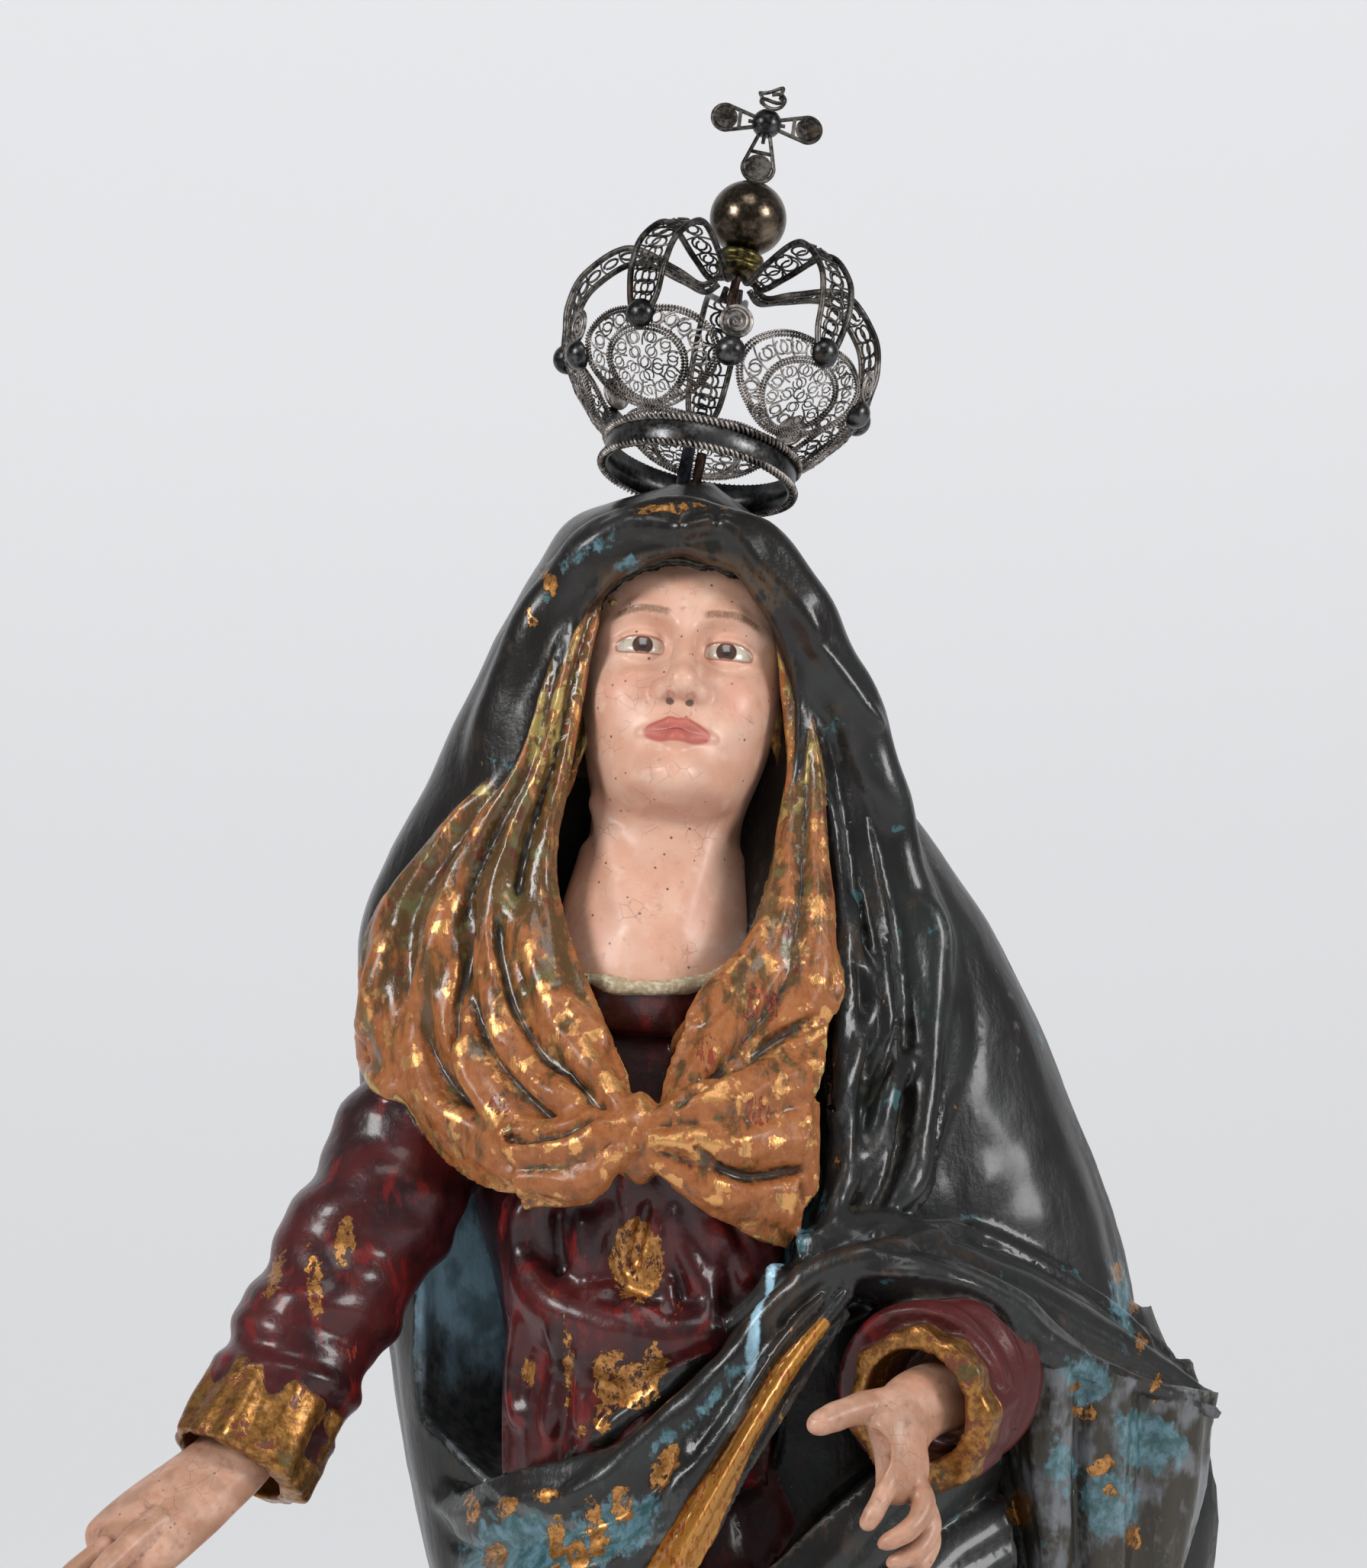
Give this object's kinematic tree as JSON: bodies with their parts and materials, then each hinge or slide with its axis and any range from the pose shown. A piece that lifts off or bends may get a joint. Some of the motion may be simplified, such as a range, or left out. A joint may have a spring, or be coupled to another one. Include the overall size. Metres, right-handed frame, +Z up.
{
  "type": "carved religious figure",
  "caption": "Carved and painted wooden standing figure in a hooded cloak and knotted scarf, hands open, with a five-petalled filigree crown, on a low base.",
  "frame": {"origin": "centre of the base's underside", "axes": "+Z up, -Y the way the figure faces, +X to the figure's left"},
  "size_m": [0.2315, 0.1386, 0.5043],
  "materials": {
    "painted_wood": "polychrome over gesso, varnished, worn and dirty, with gold leaf",
    "gilded_base": "water gilding over red bole, rubbed",
    "painted_flesh": "satin flesh paint with grime in the grooves",
    "filigree": "tarnished silver wire, bright on its edges",
    "dark_silver": "darkly tarnished silver, burnished",
    "brass": "turned, with green patina",
    "iron": "forged, dark oxide"
  },
  "bodies": {
    "root": {"figure": "painted_wood", "base": "gilded_base", "right_hand": "painted_flesh", "left_hand": "painted_flesh", "head_nail": "iron", "crown_stud": "iron", "crown_pin": "iron", "crown_rim": "dark_silver", "crown_collar": "brass", "crown_orb": "dark_silver", "crown_cross": "filigree", "crown_petal_1": "filigree", "crown_arch_1": "filigree", "crown_petal_boss_1": "dark_silver", "crown_medallion_1": "filigree", "crown_junction_boss_1": "dark_silver", "crown_petal_2": "filigree", "crown_arch_2": "filigree", "crown_petal_boss_2": "dark_silver", "crown_medallion_2": "filigree", "crown_junction_boss_2": "dark_silver", "crown_petal_3": "filigree", "crown_arch_3": "filigree", "crown_petal_boss_3": "dark_silver", "crown_medallion_3": "filigree", "crown_junction_boss_3": "dark_silver", "crown_petal_4": "filigree", "crown_arch_4": "filigree", "crown_petal_boss_4": "dark_silver", "crown_medallion_4": "filigree", "crown_junction_boss_4": "dark_silver", "crown_petal_5": "filigree", "crown_arch_5": "filigree", "crown_petal_boss_5": "dark_silver", "crown_medallion_5": "filigree", "crown_junction_boss_5": "dark_silver"}
  },
  "joints": []
}
